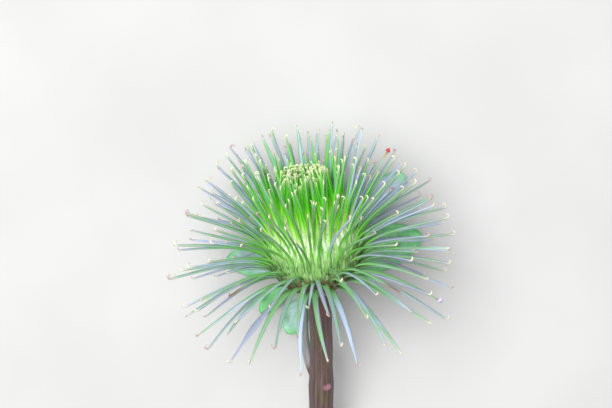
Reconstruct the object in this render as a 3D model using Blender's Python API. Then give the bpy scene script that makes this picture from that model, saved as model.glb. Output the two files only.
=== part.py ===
"""Burdock flower head in bud, picked with a short length of stalk and lying on a flat surface.

The head is a small round body covered in long hooked bracts. Its axis rises gently from the surface:
the cut end of the stem lies low at -Y, and the head rests on its lowest bracts and on the small leaves
of a side shoot. Metres, +Z up, the surface at Z = 0.
"""

import math
import random

import bpy
from mathutils import Matrix, Vector

# Where the head lies, and how its axis is turned
HEAD_CENTRE = Vector((0.0005, 0.0132, 0.0190))
AXIS_RISE = math.radians(20.0)
AXIS_LEAN = math.radians(7.0)

# The body that the bracts grow from: a flattened ball, cut flat where the stem meets it
BODY_RADIUS = 0.0070
BODY_HALF_HEIGHT = 0.0072
BODY_CENTRE = 0.0025
BASE_DEPTH = 0.0047
BASE_RADIUS = 0.0024
PART_GAP = 0.0003
SPLIT_ANGLE = math.radians(64.0)
BODY_SIDES = 24
CROWN_RINGS = 6
CUP_RINGS = 7
LOWEST_ANGLE = math.radians(157.0)
SHARP_ANGLE = math.radians(50.0)

# Bracts in three families: the ring at the crown, the upright inner ones, and the outer ones
RING_COUNT = 40
INNER_COUNT = 34
OUTER_COUNT = 144
RING_RANGE = (math.radians(21.0), math.radians(38.0))
INNER_RANGE = (math.radians(40.0), math.radians(59.0))
OUTER_RANGE = (math.radians(69.5), math.radians(135.0))
GOLDEN_TURN = math.pi * (3.0 - math.sqrt(5.0))
SINK = 0.0014
SEED = 41

# Direction in which a bract ends, and how far its tip is from the head's centre, by the angle of its root
END_ANGLES = ((0, 0), (20, -9), (30, -12), (38, -9), (41, 6), (59, 26), (69, 36), (80, 49), (90, 66),
              (100, 82), (125, 118), (136, 132))
REACHES = ((0, 0.0138), (20, 0.0149), (38, 0.0153), (41, 0.0184), (52, 0.0201), (60, 0.0204),
           (76, 0.0205), (88, 0.0208), (105, 0.0208), (136, 0.0202))

# The upper side of the head, as it lies, where the bracts stand more upright than elsewhere
UPRIGHT = ((0, 0), (70, 0), (84, 12), (92, 22), (99, 32), (103, 8), (106, 0))
UPRIGHT_FROM = math.cos(math.radians(36.0))
UPRIGHT_FULL = math.cos(math.radians(22.0))

# How far each bract bends outward, over what length, and how far it may stray from its family
BENDS = ((0, 4), (40, 4), (52, 9), (60, 17), (69, 27), (78, 37), (86, 45), (98, 50), (136, 50))
SETTLES = ((0, 0.0026), (85, 0.0026), (100, 0.0030), (115, 0.0036), (130, 0.0040), (136, 0.0040))
BOW_LENGTH = 0.014
WANDER = math.radians(3.0)
SHORTER = 0.05
LONGER = 0.04
SIDE_BOW = math.radians(6.0)
HOOK_TWIST = math.radians(50.0)

# A bract's shaft and hook
SHAFT_HALF_WIDTHS = ((0.0, 0.00062), (0.10, 0.00048), (0.38, 0.00035), (1.0, 0.00028))
SHAFT_THICKNESS = 0.00060
KEEL_SHARE = 0.64
HOOK_RADIUS = 0.00034
HOOK_TURNS = (70.0, 135.0, 200.0)
HOOK_THICKNESS = 0.00038
SHAFT_RINGS = (0.0, 0.10, 0.38, 1.0)
WALK_STEPS = 48

# The stem, and the side shoot that leaves it behind the head
STEM_LENGTH = 0.0450
STEM_RADII = ((0.0, 0.0021), (0.05, 0.0017), (0.41, 0.0018), (0.47, 0.0020), (0.53, 0.0019),
              (1.0, 0.00195))
STEM_RINGS = 18
STEM_SIDES = 12
STEM_LEAN = math.radians(0.6)
STEM_TOP_HANDLE = 0.006
STEM_END_HANDLE = 0.018
SHOOT_ALONG = 0.47
SHOOT_END = Vector((-0.0010, -0.0030, 0.0013))
SHOOT_LEAVES = Vector((-0.0037, 0.0040, -0.0012))
SHOOT_ARRIVES = Vector((-0.0008, -0.0056, 0.0010))
SHOOT_RADII = ((0.0, 0.00095), (0.15, 0.00074), (0.9, 0.00062), (1.0, 0.00070))
SHOOT_RINGS = 12
SHOOT_SIDES = 8

# Leaves of the side shoot: direction in degrees from +X, length, half width, sideways bow, stalk share
LEAVES = {
    "leaf_right": (12.0, 0.0166, 0.0037, 0.08, 0.22),
    "leaf_upper_right": (48.0, 0.0192, 0.0026, -0.06, 0.42),
    "leaf_left": (172.0, 0.0110, 0.0027, 0.05, 0.16),
    "leaf_lower_left": (221.0, 0.0084, 0.0016, 0.05, 0.30),
    "leaf_low": (258.0, 0.0090, 0.0020, -0.08, 0.40),
}
LEAF_START = 0.0022
LEAF_THICKNESS = 0.00064
PETIOLE_HALF_WIDTH = 0.00055
LEAF_TIP_HALF_WIDTH = 0.00030
MARGIN_RISE = 0.0009
LEAF_TIP_RISE = 0.0012
OVAL_POWER = 0.80
BLADE_ONSET = 0.23
FLAT_MIDDLE = 0.35
MARGIN_WAVES = 19.0
TIP_FROM = 0.62
LEAF_LONG_STEPS = 14
LEAF_CROSS_STEPS = 6

# Clearances kept by the bracts that are pressed against the surface, the leaves and the shoot
TOUCH_GAP = 0.00002
NEIGHBOUR_GAP = 0.00032
STEM_KEEP_OFF = 0.0022
SHOOT_KEEP_OFF = 0.0009
ROOT_SWING = 0.35
SWING_STEP = math.radians(2.0)
MOST_SWING = math.radians(70.0)
SWING_WAYS = 12


def clear_scene():
    for thing in list(bpy.data.objects):
        bpy.data.objects.remove(thing)


def plant_material(name, colour, roughness):
    made = bpy.data.materials.new(name)
    made.use_nodes = True
    shader = made.node_tree.nodes["Principled BSDF"]
    shader.inputs["Base Color"].default_value = (*colour, 1.0)
    shader.inputs["Roughness"].default_value = roughness
    shader.inputs["Metallic"].default_value = 0.0
    return made


def new_object(name, points, faces, material=None, collection=None):
    mesh = bpy.data.meshes.new(name)
    mesh.from_pydata([tuple(p) for p in points], [], faces)
    mesh.update()
    thing = bpy.data.objects.new(name, mesh)
    (collection or bpy.context.scene.collection).objects.link(thing)
    if material:
        mesh.materials.append(material)
    return thing


def between(stops, x):
    """The value at x on straight lines between (x, value) stops."""
    for (x0, v0), (x1, v1) in zip(stops, stops[1:]):
        if x <= x1:
            return v0 + (v1 - v0) * (x - x0) / (x1 - x0)
    return stops[-1][1]


def smooth(low, high, x):
    t = min(1.0, max(0.0, (x - low) / (high - low)))
    return t * t * (3.0 - 2.0 * t)


def head_matrix():
    """Head frame to world: Z of the head is its axis, and its Y points down at the surface."""
    lean, rise = AXIS_LEAN, AXIS_RISE
    axis = Vector((-math.sin(lean), math.cos(lean) * math.cos(rise), math.cos(lean) * math.sin(rise)))
    right = Vector((math.cos(lean), math.sin(lean) * math.cos(rise), math.sin(lean) * math.sin(rise)))
    under = axis.cross(right)
    turn = Matrix((right, under, axis)).transposed()
    return Matrix.Translation(HEAD_CENTRE) @ turn.to_4x4()


def curve_points(a, b, c, d, count):
    """Points on the cubic curve from a to d with handles b and c."""
    found = []
    for i in range(count):
        t = i / (count - 1)
        s = 1.0 - t
        found.append(a * s**3 + b * (3 * s * s * t) + c * (3 * s * t * t) + d * t**3)
    return found


def skin(rings):
    """Faces that join rings of equal length, with a fan-free cap at each end."""
    count, sides = len(rings), len(rings[0])
    faces = [list(range(sides))[::-1]]
    for i in range(count - 1):
        for j in range(sides):
            k = (j + 1) % sides
            faces.append((i * sides + j, i * sides + k, (i + 1) * sides + k, (i + 1) * sides + j))
    faces.append([(count - 1) * sides + j for j in range(sides)])
    return [p for ring in rings for p in ring], faces


def tube_rings(line, radii, sides, up):
    """Round rings along a line, each square to it, with a side turned away from up."""
    rings = []
    for i, point in enumerate(line):
        ahead = (line[min(i + 1, len(line) - 1)] - line[max(i - 1, 0)]).normalized()
        across = ahead.cross(up).normalized()
        over = across.cross(ahead)
        radius = between(radii, i / (len(line) - 1))
        ring = []
        for j in range(sides):
            a = 2.0 * math.pi * (j + 0.5) / sides
            ring.append(point + (across * math.cos(a) + over * math.sin(a)) * radius)
        rings.append(ring)
    return rings


def stem_line():
    """From the flat base of the head down to the cut end, which lies on the surface."""
    place = head_matrix()
    axis = (place.to_3x3() @ Vector((0, 0, 1))).normalized()
    top = place @ Vector((0, 0, -BASE_DEPTH - PART_GAP))
    end_radius = STEM_RADII[-1][1]
    fall = top.z - end_radius
    level = math.sqrt(STEM_LENGTH**2 - fall**2)
    end = Vector((top.x + level * math.sin(STEM_LEAN), top.y - level, end_radius))
    along = (end - top).normalized()
    return curve_points(top, top - axis * STEM_TOP_HANDLE, end - along * STEM_END_HANDLE, end, STEM_RINGS)


def shoot_line():
    """From inside the stem down and forward under the head."""
    stem = stem_line()
    start = stem[round(SHOOT_ALONG * (STEM_RINGS - 1))]
    end = Vector((HEAD_CENTRE.x, HEAD_CENTRE.y, 0)) + SHOOT_END
    return curve_points(start, start + SHOOT_LEAVES, end + SHOOT_ARRIVES, end, SHOOT_RINGS)


def body_point(angle, sunk=0.0):
    """Point (out from the axis, along it) at an angle from the crown, on the body or sunk in it."""
    reach = 1.0 / math.hypot(math.sin(angle) / BODY_RADIUS, math.cos(angle) / BODY_HALF_HEIGHT) - sunk
    return Vector((reach * math.sin(angle), BODY_CENTRE + reach * math.cos(angle)))


def turned(name, profile, material, collection=None):
    """A solid turned from (radius, height) points that run from the top of the axis to its bottom."""
    top, bottom, rest = profile[0], profile[-1], profile[1:-1]
    points = [Vector((0, 0, top[1]))]
    for radius, height in rest:
        for j in range(BODY_SIDES):
            a = 2.0 * math.pi * j / BODY_SIDES
            points.append(Vector((radius * math.cos(a), radius * math.sin(a), height)))
    points.append(Vector((0, 0, bottom[1])))
    faces = []
    for j in range(BODY_SIDES):
        k = (j + 1) % BODY_SIDES
        faces.append((0, 1 + j, 1 + k))
        for i in range(len(rest) - 1):
            here, below = 1 + i * BODY_SIDES, 1 + (i + 1) * BODY_SIDES
            faces.append((here + j, below + j, below + k, here + k))
        last = 1 + (len(rest) - 1) * BODY_SIDES
        faces.append((last + k, last + j, len(points) - 1))
    place = head_matrix()
    return new_object(name, [place @ p for p in points], faces, material, collection)


def crown_body(name, material):
    """The upper part of the body, whose conical foot sits in the lower part with a thin gap."""
    apex = 0.5 * PART_GAP / math.sin(SPLIT_ANGLE)
    edge = body_point(SPLIT_ANGLE)
    arc = [body_point(SPLIT_ANGLE * i / CROWN_RINGS) for i in range(CROWN_RINGS)]
    profile = [(0, arc[0].y)] + [tuple(p) for p in arc[1:]]
    profile += [(edge.x, edge.y + apex), (0, BODY_CENTRE + apex)]
    return turned(name, profile, material)


def cup_body(name, material):
    """The lower part of the body: a cup with a conical seat and a flat base for the stem."""
    apex = 0.5 * PART_GAP / math.sin(SPLIT_ANGLE)
    edge = body_point(SPLIT_ANGLE)
    span = LOWEST_ANGLE - SPLIT_ANGLE
    arc = [body_point(SPLIT_ANGLE + span * i / CUP_RINGS) for i in range(1, CUP_RINGS)]
    profile = [(0, BODY_CENTRE - apex), (edge.x, edge.y - apex)] + [tuple(p) for p in arc]
    profile += [(BASE_RADIUS, -BASE_DEPTH), (0, -BASE_DEPTH)]
    return turned(name, profile, material)


def bract_plan(count, span, draw):
    """Root angle, turn about the axis, end angle, bend, length and small deviations of each bract."""
    plans = []
    low, high = math.cos(span[0]), math.cos(span[1])
    for k in range(count):
        turn = k * GOLDEN_TURN
        root = math.acos(low + (high - low) * (k + 0.5) / count)
        wander = draw.uniform(-WANDER, WANDER)
        reach_share = draw.uniform(-SHORTER, LONGER)
        side = math.tan(draw.uniform(-SIDE_BOW, SIDE_BOW))
        twist = draw.uniform(-HOOK_TWIST, HOOK_TWIST)
        upper = smooth(UPRIGHT_FROM, UPRIGHT_FULL, -math.sin(turn))
        end = between(END_ANGLES, math.degrees(root)) - between(UPRIGHT, math.degrees(root)) * upper
        reach = between(REACHES, math.degrees(root)) * (1.0 + reach_share)
        plans.append({
            "root": root,
            "turn": turn,
            "end": math.radians(end) + wander,
            "bend": math.radians(between(BENDS, math.degrees(root))),
            "settle": between(SETTLES, math.degrees(root)),
            "reach": reach,
            "side": side,
            "twist": twist,
        })
    return plans


def walk(plan):
    """Points (out, sideways, along, angle) of a bract's shaft, from its root out to its full reach."""
    here = body_point(plan["root"])
    out, up = here.x, here.y
    step = (plan["reach"] - here.length) / WALK_STEPS
    found = [(out, 0.0, up, plan["end"] - plan["bend"])]
    gone = 0.0
    while math.hypot(out, up) < plan["reach"]:
        angle = plan["end"] - plan["bend"] * math.exp(-gone / plan["settle"])
        out += math.sin(angle) * step
        up += math.cos(angle) * step
        gone += step
        found.append((out, plan["side"] * gone * gone / BOW_LENGTH, up, angle))
    return found


def bract_stations(plan):
    """Centre, inward normal, half width and thickness of each ring of a bract, in the head's frame."""
    path = walk(plan)
    outward = Vector((math.cos(plan["turn"]), math.sin(plan["turn"]), 0))
    around = Vector((-math.sin(plan["turn"]), math.cos(plan["turn"]), 0))

    def at(share):
        out, side, up, angle = path[round(share * (len(path) - 1))]
        centre = outward * out + around * side + Vector((0, 0, up))
        ahead = outward * math.sin(angle) + Vector((0, 0, math.cos(angle)))
        inward = Vector((0, 0, math.sin(angle))) - outward * math.cos(angle)
        return centre, ahead, inward

    sunk = body_point(plan["root"], SINK)
    centre, ahead, inward = at(0.0)
    first = outward * sunk.x + Vector((0, 0, sunk.y))
    stations = [(first, (centre - first).normalized(), inward, SHAFT_HALF_WIDTHS[0][1], SHAFT_THICKNESS)]
    for share in SHAFT_RINGS[1:]:
        centre, ahead, inward = at(share)
        stations.append((centre, ahead, inward, between(SHAFT_HALF_WIDTHS, share), SHAFT_THICKNESS))
    end, ahead, inward = at(1.0)
    inward = Matrix.Rotation(plan["twist"], 3, ahead) @ inward
    for turn in HOOK_TURNS:
        a = math.radians(turn)
        centre = end + (ahead * math.sin(a) + inward * (1.0 - math.cos(a))) * HOOK_RADIUS
        tangent = ahead * math.cos(a) + inward * math.sin(a)
        normal = inward * math.cos(a) - ahead * math.sin(a)
        stations.append((centre, tangent, normal, 0.5 * HOOK_THICKNESS, HOOK_THICKNESS))
    return stations


def to_world(stations):
    place = head_matrix()
    turn = place.to_3x3()
    return [(place @ c, turn @ t, turn @ n, w, h) for c, t, n, w, h in stations]


def leaf_half_width(name, share):
    widest, stalk = LEAVES[name][2], LEAVES[name][4]
    if share <= stalk:
        return PETIOLE_HALF_WIDTH
    t = (share - stalk) / (1.0 - stalk)
    oval = math.sqrt(max(0.0, 1.0 - (2.0 * t**OVAL_POWER - 1.0) ** 2))
    floor = PETIOLE_HALF_WIDTH + (LEAF_TIP_HALF_WIDTH - PETIOLE_HALF_WIDTH) * t
    return max(floor, widest * oval)


def leaf_under(name, share, across):
    """Height of a leaf's underside: flat on the surface along its middle, risen at margin and tip."""
    stalk = LEAVES[name][4]
    blade = smooth(stalk, stalk + BLADE_ONSET, share)
    wave = 0.6 + 0.4 * math.sin(MARGIN_WAVES * share + (2.0 if across > 0 else 0.0))
    margin = smooth(FLAT_MIDDLE, 1.0, abs(across)) * wave
    tip = smooth(TIP_FROM, 1.0, share) * (1.0 - 0.4 * abs(across))
    return blade * MARGIN_RISE * margin + LEAF_TIP_RISE * tip


def leaf_axes(name):
    angle, length, _, bow, _ = LEAVES[name]
    along = Vector((math.cos(math.radians(angle)), math.sin(math.radians(angle)), 0))
    across = Vector((-along.y, along.x, 0))
    start = Vector((HEAD_CENTRE.x + SHOOT_END.x, HEAD_CENTRE.y + SHOOT_END.y, 0)) + along * LEAF_START
    return start, along, across, length, bow


def leaf_point(name, share, side):
    start, along, across, length, bow = leaf_axes(name)
    offset = bow * length * share * share + side * leaf_half_width(name, share)
    height = leaf_under(name, share, side)
    return start + along * (length * share) + across * offset + Vector((0, 0, height))


def leaf_top(name, point):
    """Height of a leaf's upper face over a point of the surface, or 0 beside the leaf."""
    start, along, across, length, bow = leaf_axes(name)
    offset = Vector((point.x, point.y, 0)) - start
    share = offset.dot(along) / length
    if not -0.05 <= share <= 1.05:
        return 0.0
    share = min(1.0, max(0.0, share))
    width = leaf_half_width(name, share)
    side = (offset.dot(across) - bow * length * share * share) / width
    if abs(side) * width > width + NEIGHBOUR_GAP:
        return 0.0
    return leaf_under(name, share, max(-1.0, min(1.0, side))) + LEAF_THICKNESS + NEIGHBOUR_GAP


def make_leaf(name, material):
    """A leaf stalk and blade in one thin arched strip, alike in its triangles above and below."""
    rows, columns = LEAF_LONG_STEPS + 1, LEAF_CROSS_STEPS + 1
    under = []
    for i in range(rows):
        for j in range(columns):
            under.append(leaf_point(name, i / LEAF_LONG_STEPS, 2.0 * j / LEAF_CROSS_STEPS - 1.0))
    over = [p + Vector((0, 0, LEAF_THICKNESS)) for p in under]
    layer = rows * columns
    faces = []
    for i in range(LEAF_LONG_STEPS):
        for j in range(LEAF_CROSS_STEPS):
            a, b = i * columns + j, i * columns + j + 1
            c, d = a + columns, b + columns
            for corner in ((a, c, b), (b, c, d)):
                faces.append(tuple(layer + v for v in corner))
                faces.append(corner[::-1])
    rim = [j for j in range(columns)]
    rim += [i * columns + columns - 1 for i in range(1, rows)]
    rim += [(rows - 1) * columns + j for j in range(columns - 2, -1, -1)]
    rim += [i * columns for i in range(rows - 2, 0, -1)]
    for a, b in zip(rim, rim[1:] + rim[:1]):
        faces.append((b, a, layer + a))
        faces.append((b, layer + a, layer + b))
    leaf = new_object(name, under + over, faces, material)
    face_outward(leaf.data)
    leaf.data.shade_smooth()
    leaf.data.set_sharp_from_angle(angle=SHARP_ANGLE)
    return leaf


def signed_volume(mesh):
    mesh.calc_loop_triangles()
    total = 0.0
    for triangle in mesh.loop_triangles:
        a, b, c = (mesh.vertices[v].co for v in triangle.vertices)
        total += a.dot(b.cross(c))
    return total


def face_outward(mesh):
    if signed_volume(mesh) < 0.0:
        mesh.flip_normals()


def distance_to_line(point, line):
    best = 1.0
    for a, b in zip(line, line[1:]):
        step = b - a
        t = max(0.0, min(1.0, (point - a).dot(step) / step.length_squared))
        best = min(best, (point - a - step * t).length)
    return best


def ring(station):
    """Corners of a bract's three-sided section: flat side inward, keel outward."""
    centre, ahead, inward, width, thickness = station
    across = ahead.cross(inward).normalized()
    return [
        centre + across * width + inward * ((1.0 - KEEL_SHARE) * thickness),
        centre - inward * (KEEL_SHARE * thickness),
        centre - across * width + inward * ((1.0 - KEEL_SHARE) * thickness),
    ]


def is_clear(stations, stem, shoot):
    """True if the bract keeps off the surface, the leaves, the stem and the side shoot."""
    rings = [ring(station) for station in stations[1:]]
    for before, after in zip(rings, rings[1:]):
        for a, b in zip(before, after):
            for share in (0.0, 0.33, 0.67, 1.0):
                point = a.lerp(b, share)
                if point.z < max([leaf_top(name, point) for name in LEAVES] + [TOUCH_GAP]):
                    return False
    for a, b in zip(stations[1:], stations[2:]):
        for share in (0.25, 0.5, 0.75, 1.0):
            point = a[0].lerp(b[0], share)
            for way, radius in ((stem, STEM_KEEP_OFF), (shoot, SHOOT_KEEP_OFF)):
                if distance_to_line(point, way) < radius + SHAFT_THICKNESS + NEIGHBOUR_GAP:
                    return False
    return True


def swung(stations, axis, most):
    """The bract bent about an axis through its root, more and more towards its tip."""
    root = stations[1][0]
    reach = (stations[-1][0] - root).length
    bent = [stations[0]]
    for centre, ahead, inward, width, thickness in stations[1:]:
        share = min(1.0, (centre - root).length / reach)
        turn = Matrix.Rotation(most * (ROOT_SWING + (1.0 - ROOT_SWING) * share), 3, axis)
        bent.append((root + turn @ (centre - root), turn @ ahead, turn @ inward, width, thickness))
    return bent


def pressed(stations, stem, shoot):
    """The bract as it lies when the head rests: bent the least way that clears what is near it."""
    if is_clear(stations, stem, shoot):
        return stations
    ahead = (stations[-1][0] - stations[1][0]).normalized()
    level = ahead.cross(Vector((0, 0, 1)))
    if level.length < 0.02:
        level = Vector((1, 0, 0))
    level.normalize()
    steps = round(MOST_SWING / SWING_STEP)
    for i in range(1, steps):
        for j in range(SWING_WAYS):
            spread = (j + 1) // 2 * (1 if j % 2 else -1)
            axis = Matrix.Rotation(spread * math.pi / SWING_WAYS, 3, ahead) @ level
            bent = swung(stations, axis, i * SWING_STEP)
            if is_clear(bent, stem, shoot):
                return bent
    return None


def bract_mesh(name, stations, collection):
    """A three-sided needle whose root is sunk in the body."""
    points, faces = skin([ring(station) for station in stations])
    needle = new_object(name, points, faces, None, collection)
    face_outward(needle.data)
    return needle


def fuse(body, collection):
    """Joins every object of the collection to the body, then removes them."""
    union = body.modifiers.new("bracts", "BOOLEAN")
    union.operation = "UNION"
    union.operand_type = "COLLECTION"
    union.collection = collection
    union.solver = "MANIFOLD"
    graph = bpy.context.evaluated_depsgraph_get()
    joined = bpy.data.meshes.new_from_object(body.evaluated_get(graph), depsgraph=graph)
    body.modifiers.clear()
    body.data = joined
    for thing in list(collection.objects):
        bpy.data.objects.remove(thing)
    bpy.data.collections.remove(collection)


def make_bracts(body, plans, stem, shoot):
    holder = bpy.data.collections.new(body.name + "_parts")
    bpy.context.scene.collection.children.link(holder)
    for k, plan in enumerate(plans):
        stations = pressed(to_world(bract_stations(plan)), stem, shoot)
        if stations:
            bract_mesh(f"bract_{k}", stations, holder)
    fuse(body, holder)


def make_stem(material):
    """The stem and its side shoot, grown as one piece."""
    points, faces = skin(tube_rings(stem_line(), STEM_RADII, STEM_SIDES, Vector((0, 0, 1))))
    stem = new_object("stem", points, faces, material)
    face_outward(stem.data)
    holder = bpy.data.collections.new("stem_parts")
    bpy.context.scene.collection.children.link(holder)
    points, faces = skin(tube_rings(shoot_line(), SHOOT_RADII, SHOOT_SIDES, Vector((0, 0, 1))))
    shoot = new_object("side_shoot", points, faces, None, holder)
    face_outward(shoot.data)
    fuse(stem, holder)
    stem.data.shade_smooth()
    stem.data.set_sharp_from_angle(angle=SHARP_ANGLE)
    return stem


def main():
    clear_scene()
    fresh_green = plant_material("fresh_green", (0.22, 0.55, 0.08), 0.5)
    sea_green = plant_material("sea_green", (0.38, 0.62, 0.42), 0.55)
    bark = plant_material("stem_brown", (0.34, 0.24, 0.22), 0.6)
    leaf_green = plant_material("leaf_green", (0.20, 0.46, 0.20), 0.6)

    stem, shoot = stem_line(), shoot_line()
    draw = random.Random(SEED)
    crown = crown_body("inner_bracts", fresh_green)
    face_outward(crown.data)
    plans = bract_plan(RING_COUNT, RING_RANGE, draw) + bract_plan(INNER_COUNT, INNER_RANGE, draw)
    make_bracts(crown, plans, stem, shoot)
    cup = cup_body("outer_bracts", sea_green)
    face_outward(cup.data)
    make_bracts(cup, bract_plan(OUTER_COUNT, OUTER_RANGE, draw), stem, shoot)
    make_stem(bark)
    for name in LEAVES:
        make_leaf(name, leaf_green)


main()
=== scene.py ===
import math
import random
from collections import namedtuple

import bpy
from mathutils import Matrix, Vector, noise


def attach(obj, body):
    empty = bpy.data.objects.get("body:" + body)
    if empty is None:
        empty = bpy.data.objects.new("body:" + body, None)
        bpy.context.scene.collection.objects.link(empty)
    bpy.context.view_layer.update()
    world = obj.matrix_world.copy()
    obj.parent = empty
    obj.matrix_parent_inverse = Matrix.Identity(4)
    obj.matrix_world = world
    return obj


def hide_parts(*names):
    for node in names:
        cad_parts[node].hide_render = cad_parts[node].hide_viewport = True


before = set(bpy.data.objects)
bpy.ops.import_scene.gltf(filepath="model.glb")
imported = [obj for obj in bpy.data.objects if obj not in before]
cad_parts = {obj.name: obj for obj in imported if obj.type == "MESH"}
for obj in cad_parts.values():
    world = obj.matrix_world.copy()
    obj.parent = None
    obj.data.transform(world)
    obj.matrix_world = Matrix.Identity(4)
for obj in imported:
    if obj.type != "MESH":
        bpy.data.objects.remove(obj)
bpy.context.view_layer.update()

# The stem: a fresh burdock stalk, ribbed and dull reddish brown, cut off 45 mm below the head.
# It meets the flat base of the head, has a slightly swollen node, and its cut end lies on the surface.

HEAD_CENTRE = Vector((0.0005, 0.0132, 0.0190))
AXIS_RISE = math.radians(20.0)
AXIS_LEAN = math.radians(7.0)
BASE_DEPTH = 0.0047
PART_GAP = 0.0003
STEM_LENGTH = 0.0450
STEM_RADII = ((0.0, 0.0021), (0.05, 0.0017), (0.41, 0.0018), (0.47, 0.0020), (0.53, 0.0019),
              (1.0, 0.00195))
STEM_LEAN = math.radians(0.6)
STEM_TOP_HANDLE = 0.006
STEM_END_HANDLE = 0.018
STEM_RINGS = 150
STEM_SIDES = 52
STEM_RIBS = 13
RIB_DEPTH = 0.00005
RIB_SWAY = 0.6
RIB_SWAY_TURNS = 140.0
STEM_LUMPS = 0.00004
LUMP_TURNS = 260.0
CUT_DRAWN_IN = 0.1
CUT_DISH = ((0.94, 0.00002), (0.80, 0.00010), (0.55, 0.00006), (0.25, 0.00024), (0.05, 0.00030))
PITH_EDGE = 1.05
YOUNG_FROM = (0.0015, 0.0050)

# The grain of the skin is laid out in millimetres, round the stem and along it
MM = 1000.0
GRAIN_RADIUS = 1.95
SCAR = (4.15, 15.9)
STEM_BROWNS = ((0.070, 0.040, 0.036), (0.118, 0.075, 0.070))
STEM_OLIVES = ((0.080, 0.065, 0.027), (0.112, 0.096, 0.050))
RIB_GREY = (0.19, 0.145, 0.15)
TOP_RED = (0.140, 0.058, 0.040)
FLANK_MAUVE = (0.125, 0.096, 0.118)
SPECK_RED = (0.42, 0.16, 0.17)
SCAR_PINK = (0.38, 0.17, 0.23)
CUT_COLOURS = ((0.62, 0.66, 0.42), (0.30, 0.40, 0.16))
SHOOT_GREYS = ((0.20, 0.20, 0.19), (0.34, 0.31, 0.36))
SHOOT_GREEN = (0.10, 0.20, 0.10)


def between(stops, x):
    """The value at x on straight lines between (x, value) stops."""
    for (x0, v0), (x1, v1) in zip(stops, stops[1:]):
        if x <= x1:
            return v0 + (v1 - v0) * (x - x0) / (x1 - x0)
    return stops[-1][1]


def smooth(low, high, x):
    t = min(1.0, max(0.0, (x - low) / (high - low)))
    return t * t * (3.0 - 2.0 * t)


def head_matrix():
    """Head frame to world: Z of the head is its axis, and its Y points down at the surface."""
    lean, rise = AXIS_LEAN, AXIS_RISE
    axis = Vector((-math.sin(lean), math.cos(lean) * math.cos(rise), math.cos(lean) * math.sin(rise)))
    right = Vector((math.cos(lean), math.sin(lean) * math.cos(rise), math.sin(lean) * math.sin(rise)))
    turn = Matrix((right, axis.cross(right), axis)).transposed()
    return Matrix.Translation(HEAD_CENTRE) @ turn.to_4x4()


def curve_points(a, b, c, d, count):
    """Points on the cubic curve from a to d with handles b and c."""
    found = []
    for i in range(count):
        t = i / (count - 1)
        s = 1.0 - t
        found.append(a * s**3 + b * (3 * s * s * t) + c * (3 * s * t * t) + d * t**3)
    return found


def stem_line(count):
    """From the flat base of the head down to the cut end, which lies on the surface."""
    place = head_matrix()
    axis = place.to_3x3() @ Vector((0, 0, 1))
    top = place @ Vector((0, 0, -BASE_DEPTH - PART_GAP))
    end_radius = STEM_RADII[-1][1]
    level = math.sqrt(STEM_LENGTH**2 - (top.z - end_radius) ** 2)
    end = Vector((top.x + level * math.sin(STEM_LEAN), top.y - level, end_radius))
    along = (end - top).normalized()
    return curve_points(top, top - axis * STEM_TOP_HANDLE, end - along * STEM_END_HANDLE, end, count)


def put(name, data):
    """A new object of the scene, made of this data."""
    made = bpy.data.objects.new(name, data)
    bpy.context.scene.collection.objects.link(made)
    return made


class Mesh:
    """Points and faces of one piece, with a vector of its own at each point for each named attribute."""

    def __init__(self, *attributes):
        self.points = []
        self.faces = []
        self.values = {name: [] for name in attributes}

    def follow(self, previous, points, **values):
        """Adds a ring, joined to the one before it or capped where it is the first. Returns its number."""
        now = len(self.points)
        sides = len(points)
        self.points += points
        for name, column in self.values.items():
            column += values[name]
        if previous is None:
            self.cap(now, sides)
        else:
            for j in range(sides):
                k = (j + 1) % sides
                self.faces.append((previous + j, previous + k, now + k, now + j))
        return now

    def cap(self, first, sides, last=False):
        ring = list(range(first, first + sides))
        self.faces.append(ring if last else ring[::-1])

    def make(self, name, material, node=None):
        """Makes the piece: shaded smooth, riding on the part, and standing for its CAD node."""
        data = bpy.data.meshes.new(name)
        data.from_pydata([tuple(p) for p in self.points], [], self.faces)
        for key, column in self.values.items():
            made = data.attributes.new(key, "FLOAT_VECTOR", "POINT")
            made.data.foreach_set("vector", [number for vector in column for number in vector])
        data.update()
        data.shade_smooth()
        data.materials.append(material)
        piece = put(name, data)
        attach(piece, "root")
        if node:
            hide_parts(node)


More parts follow.
